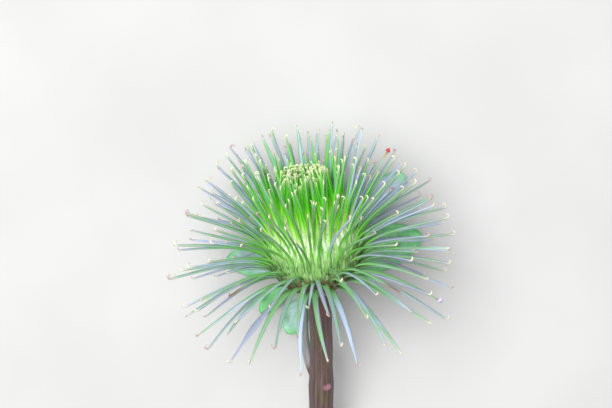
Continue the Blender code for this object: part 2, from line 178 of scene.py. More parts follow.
class Dye:
    """A value that varies over a surface. Arithmetic on it adds Math nodes, and node() adds any other."""

    def __init__(self, tree, socket=None):
        self.tree = tree
        self.socket = socket

    def node(self, kind, settings=None, inputs=None, output=0):
        made = self.tree.nodes.new(kind)
        for key, value in (settings or {}).items():
            if key == "stops":
                self.set_stops(made.color_ramp, value)
            else:
                setattr(made, key, value)
        for key, value in (inputs or {}).items():
            if isinstance(value, Dye):
                self.tree.links.new(value.socket, made.inputs[key])
            else:
                made.inputs[key].default_value = value
        return Dye(self.tree, made.outputs[output])

    @staticmethod
    def set_stops(ramp, stops):
        while len(ramp.elements) < len(stops):
            ramp.elements.new(0.5)
        for element, (place, colour) in zip(ramp.elements, stops):
            element.position = place
            element.color = (*colour, 1.0)

    def math(self, operation, *values):
        return self.node("ShaderNodeMath", {"operation": operation}, dict(enumerate(values)))

    def __add__(self, other):
        return self.math("ADD", self, other)

    __radd__ = __add__

    def __sub__(self, other):
        return self.math("SUBTRACT", self, other)

    def __rsub__(self, other):
        return self.math("SUBTRACT", other, self)

    def __mul__(self, other):
        return self.math("MULTIPLY", self, other)

    def __truediv__(self, other):
        return self.math("DIVIDE", self, other)

    def size(self):
        return self.math("ABSOLUTE", self)

    def sign(self):
        return self.math("SIGN", self)

    def sine(self):
        return self.math("SINE", self)

    def cosine(self):
        return self.math("COSINE", self)

    def larger(self, other):
        return self.math("MAXIMUM", self, other)

    def redrawn(self, times):
        """Another chance from 0 to 1, worked out from this one."""
        return self.math("FRACT", self * times)

    def rise(self, low, high):
        """0 below low, 1 above high, and smooth between them."""
        return self.node(
            "ShaderNodeMapRange",
            {"interpolation_type": "SMOOTHSTEP"},
            {"Value": self, "From Min": low, "From Max": high},
        )

    def fall(self, low, high):
        """1 below low, 0 above high, and smooth between them."""
        return 1.0 - self.rise(low, high)

    def mix(self, first, second):
        """first where this value is 0, second where it is 1; both are colours."""
        pair = [c if isinstance(c, Dye) else (*c, 1.0) for c in (first, second)]
        return self.node("ShaderNodeMix", {"data_type": "RGBA"}, {0: self, 6: pair[0], 7: pair[1]}, output=2)

    def split(self, name):
        """The three numbers of a vector attribute."""
        vector = self.node("ShaderNodeAttribute", {"attribute_name": name}, output="Vector")
        return [self.node("ShaderNodeSeparateXYZ", None, {0: vector}, output=i) for i in range(3)]

    def vector(self, x, y, z):
        return self.node("ShaderNodeCombineXYZ", None, {0: x, 1: y, 2: z})

    def cloud(self, where, scale, detail=3.0, roughness=0.5):
        settings = {"Vector": where, "Scale": scale, "Detail": detail, "Roughness": roughness}
        return self.node("ShaderNodeTexNoise", None, settings)


def new_finish(name, numbers):
    """A Principled material with these numbers on its own sockets, and its tree as a Dye."""
    material = bpy.data.materials.new(name)
    material.use_nodes = True
    shader = material.node_tree.nodes["Principled BSDF"]
    for key, value in numbers.items():
        shader.inputs[key].default_value = value
    return material, Dye(material.node_tree)


def wear(material, colour, roughness=None, height=None, depth=0.0):
    """Links a material's colour, and its roughness and bump where they vary."""
    tree = material.node_tree
    shader = tree.nodes["Principled BSDF"]
    tree.links.new(colour.socket, shader.inputs["Base Color"])
    if roughness:
        tree.links.new(roughness.socket, shader.inputs["Roughness"])
    if height:
        bump = colour.node("ShaderNodeBump", None, {"Distance": depth, "Height": height, "Strength": 1.0})
        tree.links.new(bump.socket, shader.inputs["Normal"])


def stem_finish():
    """Brown and olive fibres, paler ribs, a pink scar and a pithy cut; the shoot is grey and green."""
    material, dye = new_finish("stem_skin", {"Specular IOR Level": 0.35})
    around, along, pith = dye.split("grain")
    turn = around / GRAIN_RADIUS
    fibres = dye.cloud(dye.vector(around * 2.2, along * 0.16, 0.0), 1.0, 5.0, 0.6)
    patches = dye.cloud(dye.vector(around * 0.40, along * 0.22, 4.0), 1.0, 3.0)
    ribs = (turn * STEM_RIBS).sine() * 0.5 + 0.5
    brown = fibres.rise(0.35, 0.70).mix(*STEM_BROWNS)
    olive = fibres.rise(0.40, 0.62).mix(*STEM_OLIVES)
    skin = (patches.rise(0.44, 0.62) * 0.75).mix(brown, olive)
    skin = (ribs.rise(0.62, 1.0) * 0.30).mix(skin, RIB_GREY)
    skin = (0.6 - along.rise(1.5, 5.0) * 0.6).mix(skin, TOP_RED)
    skin = (turn.cosine().size().rise(0.55, 0.98) * 0.55).mix(skin, FLANK_MAUVE)
    specks = dye.cloud(dye.vector(around, along, 9.0), 2.6, 1.0)
    skin = (specks.rise(0.70, 0.78) * 0.6).mix(skin, SPECK_RED)
    beside = around - SCAR[0]
    below = along - SCAR[1]
    scar = (beside * beside + below * below * 2.2).fall(0.0, 1.0)
    skin = (scar * 0.75).mix(skin, SCAR_PINK)
    inside = pith.rise(0.55, 0.85).mix(*CUT_COLOURS)
    colour = pith.rise(0.02, 0.06).mix(skin, inside)
    young = fibres.rise(0.35, 0.70).mix(*SHOOT_GREYS)
    young = (turn.cosine().rise(0.35, 0.85) * 0.85).mix(young, SHOOT_GREEN)
    colour = (pith * -1.0).rise(0.30, 0.90).mix(colour, young)
    wear(material, colour, 0.50 + fibres * 0.25, fibres * 0.6 + ribs * 0.4, 0.00004)
    return material


def tube(mesh, line, radii, sides, ribs, lumps, young=0.0):
    """A round stalk along a line, with this count and depth of ribs.

    Returns the number of its last ring, and that ring's direction, points and grain.
    """
    rib_count, rib_depth = ribs
    previous = None
    travelled = 0.0
    for i, point in enumerate(line):
        ahead = (line[min(i + 1, len(line) - 1)] - line[max(i - 1, 0)]).normalized()
        across = ahead.cross(Vector((0, 0, 1))).normalized()
        over = across.cross(ahead)
        radius = between(radii, i / (len(line) - 1))
        travelled += (point - line[max(i - 1, 0)]).length
        ring, grain = [], []
        for j in range(sides):
            a = 2.0 * math.pi * j / sides
            rib = rib_depth * math.cos(rib_count * a + RIB_SWAY * math.sin(travelled * RIB_SWAY_TURNS))
            lump = lumps * noise.noise(Vector((math.cos(a), math.sin(a), travelled * LUMP_TURNS)))
            out = across * math.cos(a) + over * math.sin(a)
            ring.append(point + out * (radius - rib_depth + rib + lump))
            grain.append((a * GRAIN_RADIUS, travelled * MM, -young * smooth(*YOUNG_FROM, travelled)))
        previous = mesh.follow(previous, ring, grain=grain)
    return previous, ahead, ring, grain


stem_mesh = Mesh("grain")
line = stem_line(STEM_RINGS)
line[-1] = line[-1].lerp(line[-2], CUT_DRAWN_IN)
ribs = (STEM_RIBS, RIB_DEPTH)
last, ahead, rim, rim_grain = tube(stem_mesh, line, STEM_RADII, STEM_SIDES, ribs, STEM_LUMPS)
for share, depth in CUT_DISH:
    centre = line[-1] - ahead * depth
    ring = [centre + (p - line[-1]) * share for p in rim]
    last = stem_mesh.follow(last, ring, grain=[(x, y, PITH_EDGE - share) for x, y, _ in rim_grain])
stem_mesh.cap(last, STEM_SIDES, last=True)

# The side shoot: a thin green-brown stalk that grows from the stem's node and runs in under the head.
# It carries the small leaves, and the photo shows it just left of the stem.

SHOOT_ALONG = 0.47
SHOOT_END = Vector((-0.0010, -0.0030, 0.0013))
SHOOT_LEAVES = Vector((-0.0037, 0.0040, -0.0012))
SHOOT_ARRIVES = Vector((-0.0008, -0.0056, 0.0010))
SHOOT_RADII = ((0.0, 0.00095), (0.15, 0.00074), (0.9, 0.00062), (1.0, 0.00070))
SHOOT_RINGS = 70
SHOOT_SIDES = 24
SHOOT_RIBS = (7, 0.00003)
SHOOT_LUMPS = 0.00002
CAD_STEM_RINGS = 18
CAD_SHOOT_RINGS = 12


def shoot_line(count):
    """From inside the stem down and forward under the head."""
    start = stem_line(CAD_STEM_RINGS)[round(SHOOT_ALONG * (CAD_STEM_RINGS - 1))]
    end = Vector((HEAD_CENTRE.x, HEAD_CENTRE.y, 0)) + SHOOT_END
    return curve_points(start, start + SHOOT_LEAVES, end + SHOOT_ARRIVES, end, count)


line = shoot_line(SHOOT_RINGS)
last, *_ = tube(stem_mesh, line, SHOOT_RADII, SHOOT_SIDES, SHOOT_RIBS, SHOOT_LUMPS, young=1.0)
stem_mesh.cap(last, SHOOT_SIDES, last=True)
stem_mesh.make("cut_stem", stem_finish(), "stem")

# The leaves: five small soft leaves of the side shoot, spread on the surface under and beside the head.
# Each is green above with sunken veins and a paler, almost silvery bloom; the upper right one is greyest.

Leaf = namedtuple("Leaf", "bearing length half_width bow stalk bloom")
LEAVES = {
    "leaf_right": Leaf(12.0, 0.0166, 0.0037, 0.08, 0.22, 0.16),
    "leaf_upper_right": Leaf(48.0, 0.0192, 0.0026, -0.06, 0.42, 1.7),
    "leaf_left": Leaf(172.0, 0.0110, 0.0027, 0.05, 0.16, 0.74),
    "leaf_lower_left": Leaf(221.0, 0.0084, 0.0016, 0.05, 0.30, 0.10),
    "leaf_low": Leaf(258.0, 0.0090, 0.0020, -0.08, 0.40, 0.75),
}
LEAF_START = 0.0022
LEAF_THICKNESS = 0.00064
PETIOLE_HALF_WIDTH = 0.00055
LEAF_TIP_HALF_WIDTH = 0.00030
MARGIN_RISE = 0.0009
LEAF_TIP_RISE = 0.0012
OVAL_POWER = 0.80
BLADE_ONSET = 0.23
FLAT_MIDDLE = 0.35
MARGIN_WAVES = 19.0
TIP_FROM = 0.62
BLADE_THICKNESS = 0.00038
BLADE_SPREADS = (-0.04, 0.08)
TEETH = 31.0
TOOTH_SWAY = 11.0
TOOTH_DEPTH = 0.035
VEIN_DEPTH = 0.00016
MIDRIB_WIDTH = 0.055
MIDRIB_FLARE = 0.05
SIDE_VEINS = 6.5
SIDE_VEIN_WIDTH = 0.085
SIDE_VEIN_SLANT = 1.35
SIDE_VEIN_LAG = 0.22
SIDE_VEIN_DEPTH = 0.7
LEAST_HEIGHT = 0.00001
LEAF_ROWS = 72
LEAF_COLUMNS = 28
LEAF_GREENS = ((0.130, 0.540, 0.170), (0.230, 0.740, 0.260))
LEAF_DULL_GREEN = (0.22, 0.50, 0.20)
LEAF_SILVER = (0.52, 0.62, 0.78)
VEIN_GREEN = (0.36, 0.56, 0.30)
LEAF_STALK_GREEN = (0.26, 0.33, 0.14)


def leaf_half_width(name, share):
    stalk = LEAVES[name].stalk
    if share <= stalk:
        return PETIOLE_HALF_WIDTH
    t = (share - stalk) / (1.0 - stalk)
    oval = math.sqrt(max(0.0, 1.0 - (2.0 * t**OVAL_POWER - 1.0) ** 2))
    floor = PETIOLE_HALF_WIDTH + (LEAF_TIP_HALF_WIDTH - PETIOLE_HALF_WIDTH) * t
    return max(floor, LEAVES[name].half_width * oval)


def leaf_under(name, share, across):
    """Height of a leaf's underside: flat on the surface along its middle, risen at margin and tip."""
    stalk = LEAVES[name].stalk
    blade = smooth(stalk, stalk + BLADE_ONSET, share)
    wave = 0.6 + 0.4 * math.sin(MARGIN_WAVES * share + (2.0 if across > 0 else 0.0))
    margin = smooth(FLAT_MIDDLE, 1.0, abs(across)) * wave
    tip = smooth(TIP_FROM, 1.0, share) * (1.0 - 0.4 * abs(across))
    return blade * MARGIN_RISE * margin + LEAF_TIP_RISE * tip


def leaf_axes(name):
    leaf = LEAVES[name]
    bearing = math.radians(leaf.bearing)
    along = Vector((math.cos(bearing), math.sin(bearing), 0))
    across = Vector((-along.y, along.x, 0))
    start = Vector((HEAD_CENTRE.x + SHOOT_END.x, HEAD_CENTRE.y + SHOOT_END.y, 0)) + along * LEAF_START
    return start, along, across, leaf.length, leaf.bow


def vein(name, share, side):
    """1 on the midrib, less on the side veins that slant up from it, 0 between them."""
    stalk = LEAVES[name].stalk
    t = max(0.0, (share - stalk) / (1.0 - stalk))
    middle = math.exp(-(side / (MIDRIB_WIDTH + MIDRIB_FLARE * (1.0 - t))) ** 2)
    lag = SIDE_VEIN_LAG if side > 0 else 0.0
    slant = (t * SIDE_VEINS * (1.0 + 0.25 * t) - abs(side) * SIDE_VEIN_SLANT + lag) % 1.0
    near = min(slant, 1.0 - slant)
    side_vein = math.exp(-(near / SIDE_VEIN_WIDTH) ** 2) * smooth(0.0, 0.12, t)
    side_vein *= 1.0 - smooth(0.72, 1.0, abs(side))
    return max(middle, SIDE_VEIN_DEPTH * side_vein * smooth(0.02, 0.10, abs(side)))


def leaf_finish(name):
    """Green with paler veins and a grey-blue bloom that lies in patches."""
    material, dye = new_finish(name + "_skin", {"Specular IOR Level": 0.3, "Sheen Weight": 0.2})
    share, side, veins = dye.split("grain")
    where = dye.vector(share * 9.0, side * 3.0, LEAVES[name].bearing)
    patches = dye.cloud(where, 0.55, 3.0)
    fine = dye.cloud(where, 6.0, 4.0)
    green = patches.rise(0.30, 0.72).mix(*LEAF_GREENS)
    green = (fine.rise(0.35, 0.8) * 0.35).mix(green, LEAF_DULL_GREEN)
    bloom = (patches.rise(0.35, 0.62) * 0.35 + 0.62) * LEAVES[name].bloom
    inner = side.size().fall(0.62, 0.92) * share.fall(0.84, 0.98)
    green = (bloom * (inner * 0.8 + 0.2)).mix(green, LEAF_SILVER)
    colour = (veins * 0.40).mix(green, VEIN_GREEN)
    colour = share.fall(0.08, 0.30).mix(colour, LEAF_STALK_GREEN)
    wear(material, colour, 0.52 + fine * 0.16, fine, 0.00006)
    return material


def make_leaf(name):
    """A leaf stalk and blade in one arched sheet with sunken veins and a wavy, finely toothed margin."""
    start, along, across, length, bow = leaf_axes(name)
    stalk = LEAVES[name].stalk
    mesh = Mesh("grain")
    previous = None
    for i in range(LEAF_ROWS + 1):
        share = i / LEAF_ROWS
        blade = smooth(stalk + BLADE_SPREADS[0], stalk + BLADE_SPREADS[1], share)
        tooth = abs(math.sin(share * TEETH + 0.5 * math.sin(share * TOOTH_SWAY)))
        width = leaf_half_width(name, share) * (1.0 - TOOTH_DEPTH * blade * tooth)
        thickest = LEAF_THICKNESS * (1.0 - blade) + BLADE_THICKNESS * blade
        lift = (LEAF_THICKNESS - BLADE_THICKNESS) * blade
        upper, lower, grain_up, grain_down = [], [], [], []
        for j in range(LEAF_COLUMNS + 1):
            side = 2.0 * j / LEAF_COLUMNS - 1.0
            place = start + along * (length * share) + across * (bow * length * share * share + side * width)
            blade_round = math.sqrt(max(0.0, 1.0 - abs(side) ** 5))
            stalk_round = math.sqrt(max(0.0, 1.0 - side * side))
            thick = LEAF_THICKNESS * (1.0 - blade) * stalk_round + BLADE_THICKNESS * blade * blade_round
            middle = leaf_under(name, share, side) + lift + 0.5 * thickest
            veins = vein(name, share, side)
            sunk = VEIN_DEPTH * blade * veins * blade_round
            upper.append(place + Vector((0, 0, middle + 0.5 * thick - sunk)))
            lower.append(place + Vector((0, 0, max(LEAST_HEIGHT, middle - 0.5 * thick - 0.5 * sunk))))
            grain_up.append((share, side, veins))
            grain_down.append((share, side, veins * 0.6 + 0.4))
        grain = grain_up + grain_down[-2:0:-1]
        previous = mesh.follow(previous, upper + lower[-2:0:-1], grain=grain)
    mesh.cap(previous, 2 * LEAF_COLUMNS, last=True)
    mesh.make(name.replace("leaf", "soft_leaf"), leaf_finish(name), name)


for name in LEAVES:
    make_leaf(name)

# The body of the head: a round bud, pale and woolly between the bracts, that they all grow from.
# It is only seen in slits between the bracts' bases and as the brown-tinged rim round the stem.

BODY_RADIUS = 0.0070
BODY_HALF_HEIGHT = 0.0072
BODY_CENTRE = 0.0025
BASE_RADIUS = 0.0024
BODY_SIDES = 96
BODY_RINGS = 48
BODY_LOWEST = math.radians(158.0)
BASE_CAP = 0.4
WOOL_DEPTH = 0.00010
WOOL_TURNS = 9.0
WOOL_RISE = 1800.0
WOOL_PALES = ((0.42, 0.62, 0.24), (0.74, 0.88, 0.54))
# Painted shade: the green the wool turns lower down on the body
WOOL_SHADE_GREEN = (0.17, 0.36, 0.080)
WOOL_BROWN = (0.15, 0.075, 0.040)


def body_point(angle, sunk=0.0):
    """Point (out from the axis, along it) at an angle from the crown, on the body or sunk in it."""
    reach = 1.0 / math.hypot(math.sin(angle) / BODY_RADIUS, math.cos(angle) / BODY_HALF_HEIGHT) - sunk
    return Vector((reach * math.sin(angle), BODY_CENTRE + reach * math.cos(angle)))


def body_finish():
    """Pale wool above, green painted shade lower down and brown round the stem."""
    numbers = {"Roughness": 0.75, "Sheen Weight": 0.3, "Subsurface Weight": 0.1, "Subsurface Scale": 0.0006}
    material, dye = new_finish("body_wool", numbers)
    x, y, down = dye.split("grain")
    fibres = dye.cloud(dye.vector(x, y, down * 9.0), 3.0, 5.0, 0.65)
    pale = fibres.rise(0.30, 0.70).mix(*WOOL_PALES)
    # painted shade: the wool turns green lower down on the body
    green = down.rise(0.42, 0.54).mix(pale, WOOL_SHADE_GREEN)
    colour = down.rise(0.63, 0.71).mix(green, WOOL_BROWN)
    wear(material, colour, None, fibres, 0.00010)
    return material


def make_body():
    """The woolly bud, turned about the head's axis, and closed by its flat base."""
    place = head_matrix()
    mesh = Mesh("grain")
    previous = None
    profile = [body_point(BODY_LOWEST * (i + 0.5) / BODY_RINGS) for i in range(BODY_RINGS)]
    profile += [Vector((BASE_RADIUS, -BASE_DEPTH)), Vector((BASE_RADIUS * BASE_CAP, -BASE_DEPTH))]
    for i, spot in reversed(list(enumerate(profile))):
        ring, grain = [], []
        for j in range(BODY_SIDES):
            a = 2.0 * math.pi * j / BODY_SIDES
            where = Vector((math.cos(a) * WOOL_TURNS, math.sin(a) * WOOL_TURNS, spot.y * WOOL_RISE))
            out = spot.x + (WOOL_DEPTH * noise.noise(where) if i < BODY_RINGS else 0.0)
            ring.append(place @ Vector((out * math.cos(a), out * math.sin(a), spot.y)))
            grain.append((spot.x * MM * math.cos(a), spot.x * MM * math.sin(a), i / BODY_RINGS))
        previous = mesh.follow(previous, ring, grain=grain)
    mesh.cap(previous, BODY_SIDES, last=True)
    mesh.make("bud_body", body_finish())


make_body()

# The outer bracts: stiff green needles, broad and pale where they lie against the body (paler still with a
# painted glow), keeled on the back and hooked at the tip. They grow in a spiral and bend out; those that
# would go through the surface, the leaves or the stem lie bent aside, as they do when a picked head is put
# down.

GOLDEN_TURN = math.pi * (3.0 - math.sqrt(5.0))
END_ANGLES = ((0, 0), (20, -9), (30, -12), (38, -9), (41, 6), (59, 26), (69, 36), (80, 49), (90, 66),
              (100, 82), (125, 118), (136, 132))
REACHES = ((0, 0.0138), (20, 0.0149), (38, 0.0153), (41, 0.0184), (52, 0.0201), (60, 0.0204),
           (76, 0.0205), (88, 0.0208), (105, 0.0208), (136, 0.0202))

# The upper side of the head, as it lies, where the bracts stand more upright than elsewhere
UPRIGHT = ((0, 0), (70, 0), (84, 12), (92, 22), (99, 32), (103, 8), (106, 0))
UPRIGHT_FROM = math.cos(math.radians(36.0))
UPRIGHT_FULL = math.cos(math.radians(22.0))

# How far each bract bends outward, over what length, and how far it may stray from its family
BENDS = ((0, 4), (40, 4), (52, 9), (60, 17), (69, 27), (78, 37), (86, 45), (98, 50), (136, 50))
SETTLES = ((0, 0.0026), (85, 0.0026), (100, 0.0030), (115, 0.0036), (130, 0.0040), (136, 0.0040))
BOW_LENGTH = 0.014
WANDER = math.radians(3.0)
SHORTER = 0.05
LONGER = 0.04
SIDE_BOW = math.radians(6.0)
HOOK_TWIST = math.radians(50.0)
SINK = 0.0014
SEED = 41
RING_COUNT = 40
INNER_COUNT = 34
OUTER_COUNT = 144
RING_RANGE = (math.radians(21.0), math.radians(38.0))
INNER_RANGE = (math.radians(40.0), math.radians(59.0))
OUTER_RANGE = (math.radians(69.5), math.radians(135.0))
WALK_STEPS = 48

CAD_HALF_WIDTHS = ((0.0, 0.00062), (0.10, 0.00048), (0.38, 0.00035), (1.0, 0.00028))
CAD_THICKNESS = 0.00060
CAD_SECTION = ((1.0, 0.36), (0.0, -0.64), (-1.0, 0.36))
CAD_HOOK_THICKNESS = 0.00038
CAD_RINGS = (0.10, 0.38, 1.0)
CAD_HOOK_TURNS = (70.0, 135.0, 200.0)
HOOK_RADIUS = 0.00034
TOUCH_GAP = 0.00002
NEIGHBOUR_GAP = 0.00032
KEEP_OFF = ((stem_line(CAD_STEM_RINGS), 0.0022), (shoot_line(CAD_SHOOT_RINGS), 0.0009))
EDGE_TESTS = (0.0, 0.33, 0.67, 1.0)
MIDDLE_TESTS = (0.25, 0.5, 0.75, 1.0)
NEARLY_UPRIGHT = 0.02
ROOT_SWING = 0.35
SWING_STEP = math.radians(2.0)
MOST_SWING = math.radians(70.0)
SWING_WAYS = 12

BASE_STEPS = 4
BASE_LENGTH = math.radians(23.0)
BASE_FROM = math.radians(52.0)
BASE_SINK = 0.00030
LOWEST_BASE = math.radians(152.0)
SHAFT_SHARES = (0.0, 0.035, 0.08, 0.13, 0.19, 0.27, 0.36, 0.47, 0.59, 0.71, 0.82, 0.92, 1.0)
HOOK_SHARES = (0.12, 0.27, 0.42, 0.56, 0.71, 0.86, 1.0)
MOST_CURL = 215.0
CURL_SPREAD = 100.0
TWIST_FROM = 0.7
WEB_AT = 0.62
WEB_SPAN = 0.12
LOW_TAPER = 0.42
LOW_TAPER_ROOTS = (1.75, 2.10)
TIP_SWELL = 3.5
BLADE_WIDTHS = (
    (-1.0, 0.00034), (-0.5, 0.00060), (0.0, 0.00048), (0.08, 0.00041),
    (0.20, 0.00037), (0.40, 0.00036), (0.70, 0.00032), (1.0, 0.00018),
)
BLADE_THICKNESSES = ((-1.0, 0.00028), (0.0, 0.00036), (0.3, 0.00040), (1.0, 0.00028))
HOOK_WIDTHS = ((0.0, 0.00014), (0.6, 0.00012), (1.0, 0.00006))
SECTION = (
    (1.0, 0.05), (0.55, 0.34), (0.0, 0.20), (-0.55, 0.34),
    (-1.0, 0.05), (-0.5, -0.36), (0.0, -0.62), (0.5, -0.36),
)

# Where each ring of a bract lies: below 0 on its base, from 0 to 1 on the shaft and above 1 on the hook
BASE_RUN = 0.3
HOOK_RUN = 0.2
RING_RUNS = (
    [BASE_RUN * (i / BASE_STEPS - 1.0) for i in range(BASE_STEPS)]
    + list(SHAFT_SHARES)
    + [1.0 + HOOK_RUN * share for share in HOOK_SHARES]
)
LAST_ROOT = math.radians(136.0)

# How fresh a bract is, or how much wax and painted sky reflection it shows, by where it stands: in front on
# the lit side, or round the back
LIT_SIDE = (0.35, 0.90)
LIT_ROOTS = (1.75, 1.95)
FAR_SIDE = (-0.1, 0.5)
FRESH_SHARE = 0.8
WAXY_SHARE = 0.7

# The tips that differ: each is a number added to a bract's chance, so that one value carries both
RED_TIP = 2.0
WITHERED_TIP = 4.0
DOWNY_TIP = 6.0
TIP_EDGE = (0.6, 0.4)

FOOT_LIME = (0.30, 0.68, 0.085)
MUTED_GREEN = (0.24, 0.43, 0.26)
# Painted shade: the darker green where neighbouring bases meet
SEAM_SHADE_GREEN = (0.11, 0.30, 0.055)
KEEL_GREEN = (0.12, 0.42, 0.05)
STREAK_GREEN = (0.10, 0.26, 0.06)
# Painted shade low on the body: a darker green, and blotches darker still
SHADED_GREEN = (0.095, 0.23, 0.055)
DARK_SHADE_GREEN = (0.055, 0.105, 0.030)
# Painted highlight: white spots on some bases higher up on the body
HIGHLIGHT_WHITE = (0.92, 0.98, 0.90)
OLD_BROWN = (0.15, 0.075, 0.040)
# Wax bloom with painted sky reflection: partly the wax's own colour, partly blue sky light reflected off it
WAX_AND_SKY_GREEN = (0.23, 0.35, 0.33)
WAX_AND_SKY_BLUE = (0.41, 0.47, 0.69)
WAX_AND_SKY_VIOLET = (0.34, 0.34, 0.56)
WAX_AND_SKY_FROST = (0.50, 0.57, 0.84)
PALE_HOOK = (0.60, 0.66, 0.50)
MAUVE_HOOK = (0.36, 0.22, 0.28)
CREAM_HOOK = (0.78, 0.80, 0.50)
RED_NECK = (0.44, 0.33, 0.16)
RED_BEAD = (0.52, 0.065, 0.060)
WITHERED_BROWN = (0.25, 0.130, 0.095)
DOWN_SPECK = (0.52, 0.47, 0.72)


def bract_plan(count, span, draw, first_turn=0.0):
    """Root angle, turn about the axis, end angle, bend, length and small deviations of each bract."""
    plans = []
    low, high = math.cos(span[0]), math.cos(span[1])
    for k in range(count):
        turn = first_turn + k * GOLDEN_TURN
        root = math.acos(low + (high - low) * (k + 0.5) / count)
        degrees = math.degrees(root)
        upper = smooth(UPRIGHT_FROM, UPRIGHT_FULL, -math.sin(turn))
        end = between(END_ANGLES, degrees) - between(UPRIGHT, degrees) * upper
        plans.append({
            "root": root,
            "turn": turn,
            "end": math.radians(end) + draw.uniform(-WANDER, WANDER),
            "bend": math.radians(between(BENDS, degrees)),
            "settle": between(SETTLES, degrees),
            "reach": between(REACHES, degrees) * (1.0 + draw.uniform(-SHORTER, LONGER)),
            "side": math.tan(draw.uniform(-SIDE_BOW, SIDE_BOW)),
            "twist": draw.uniform(-HOOK_TWIST, HOOK_TWIST),
        })
    return plans


def walk(plan):
    """Points (out, sideways, along, angle) of a bract's shaft, from its root out to its full reach."""
    here = body_point(plan["root"])
    out, up = here.x, here.y
    step = (plan["reach"] - here.length) / WALK_STEPS
    found = [(out, 0.0, up, plan["end"] - plan["bend"])]
    gone = 0.0
    while math.hypot(out, up) < plan["reach"]:
        angle = plan["end"] - plan["bend"] * math.exp(-gone / plan["settle"])
        out += math.sin(angle) * step
        up += math.cos(angle) * step
        gone += step
        found.append((out, plan["side"] * gone * gone / BOW_LENGTH, up, angle))
    return found


class Shaft:
    """One bract's run in the head's frame: its centre, direction and inward side at any share."""

    def __init__(self, plan):
        self.plan = plan
        self.path = walk(plan)
        self.outward = Vector((math.cos(plan["turn"]), math.sin(plan["turn"]), 0))
        self.around = Vector((-math.sin(plan["turn"]), math.cos(plan["turn"]), 0))

    def frame(self, out, side, up, angle):
        centre = self.outward * out + self.around * side + Vector((0, 0, up))
        ahead = self.outward * math.sin(angle) + Vector((0, 0, math.cos(angle)))
        inward = Vector((0, 0, math.sin(angle))) - self.outward * math.cos(angle)
        return centre, ahead, inward

    def at(self, share):
        spot = share * (len(self.path) - 1)
        k = min(int(spot), len(self.path) - 2)
        before, after = self.path[k], self.path[k + 1]
        return self.frame(*[a + (b - a) * (spot - k) for a, b in zip(before, after)])

    def at_node(self, share):
        return self.frame(*self.path[round(share * (len(self.path) - 1))])

    def at_hook(self, degrees, radius=HOOK_RADIUS):
        """A point of the hook, which curls in towards the head's axis."""
        end, ahead, inward = self.at_node(1.0)
        inward = Matrix.Rotation(self.plan["twist"], 3, ahead) @ inward
        a = math.radians(degrees)
        centre = end + (ahead * math.sin(a) + inward * (1.0 - math.cos(a))) * radius
        return centre, ahead * math.cos(a) + inward * math.sin(a), inward * math.cos(a) - ahead * math.sin(a)


def placed(spot, width, thickness):
    """A ring of a bract, taken from the head's frame into the world, with its half width and thickness."""
    place = head_matrix()
    turn = place.to_3x3()
    centre, ahead, inward = spot
    return place @ centre, turn @ ahead, turn @ inward, width, thickness


def cad_stations(shaft):
    """The rings of the bract's plain solid."""
    sunk = body_point(shaft.plan["root"], SINK)
    first = shaft.outward * sunk.x + Vector((0, 0, sunk.y))
    centre, ahead, inward = shaft.at_node(0.0)
    stations = [placed((first, (centre - first).normalized(), inward), CAD_HALF_WIDTHS[0][1], CAD_THICKNESS)]
    for share in CAD_RINGS:
        stations.append(placed(shaft.at_node(share), between(CAD_HALF_WIDTHS, share), CAD_THICKNESS))
    for degrees in CAD_HOOK_TURNS:
        stations.append(placed(shaft.at_hook(degrees), 0.5 * CAD_HOOK_THICKNESS, CAD_HOOK_THICKNESS))
    return stations


def ring_points(station, section):
    """The points of a ring, each so many half widths across and so many thicknesses inward."""
    centre, ahead, inward, width, thickness = station
    across = ahead.cross(inward).normalized()
    return [centre + across * (width * x) + inward * (thickness * y) for x, y in section]


def leaf_top(name, point):
    """Height of a leaf's upper face over a point of the surface, or 0 beside the leaf."""
    start, along, across, length, bow = leaf_axes(name)
    offset = Vector((point.x, point.y, 0)) - start
    share = offset.dot(along) / length
    if not -0.05 <= share <= 1.05:
        return 0.0
    share = min(1.0, max(0.0, share))
    width = leaf_half_width(name, share)
    side = (offset.dot(across) - bow * length * share * share) / width
    if abs(side) * width > width + NEIGHBOUR_GAP:
        return 0.0
    return leaf_under(name, share, max(-1.0, min(1.0, side))) + LEAF_THICKNESS + NEIGHBOUR_GAP


def distance_to_line(point, line):
    best = 1.0
    for a, b in zip(line, line[1:]):
        step = b - a
        t = max(0.0, min(1.0, (point - a).dot(step) / step.length_squared))
        best = min(best, (point - a - step * t).length)
    return best


def is_clear(stations):
    """True if the bract keeps off the surface, the leaves, the stem and the side shoot."""
    rings = [ring_points(station, CAD_SECTION) for station in stations[1:]]
    for before, after in zip(rings, rings[1:]):
        for a, b in zip(before, after):
            for share in EDGE_TESTS:
                point = a.lerp(b, share)
                if point.z < max([leaf_top(name, point) for name in LEAVES] + [TOUCH_GAP]):
                    return False
    for a, b in zip(stations[1:], stations[2:]):
        for share in MIDDLE_TESTS:
            point = a[0].lerp(b[0], share)
            for line, distance in KEEP_OFF:
                if distance_to_line(point, line) < distance + CAD_THICKNESS + NEIGHBOUR_GAP:
                    return False
    return True


def swung(stations, root, reach, axis, most):
    """Stations bent about an axis through the bract's root, more and more towards its tip."""
    bent = []
    for centre, ahead, inward, width, thickness in stations:
        share = min(1.0, (centre - root).length / reach)
        turn = Matrix.Rotation(most * (ROOT_SWING + (1.0 - ROOT_SWING) * share), 3, axis)
        bent.append((root + turn @ (centre - root), turn @ ahead, turn @ inward, width, thickness))
    return bent


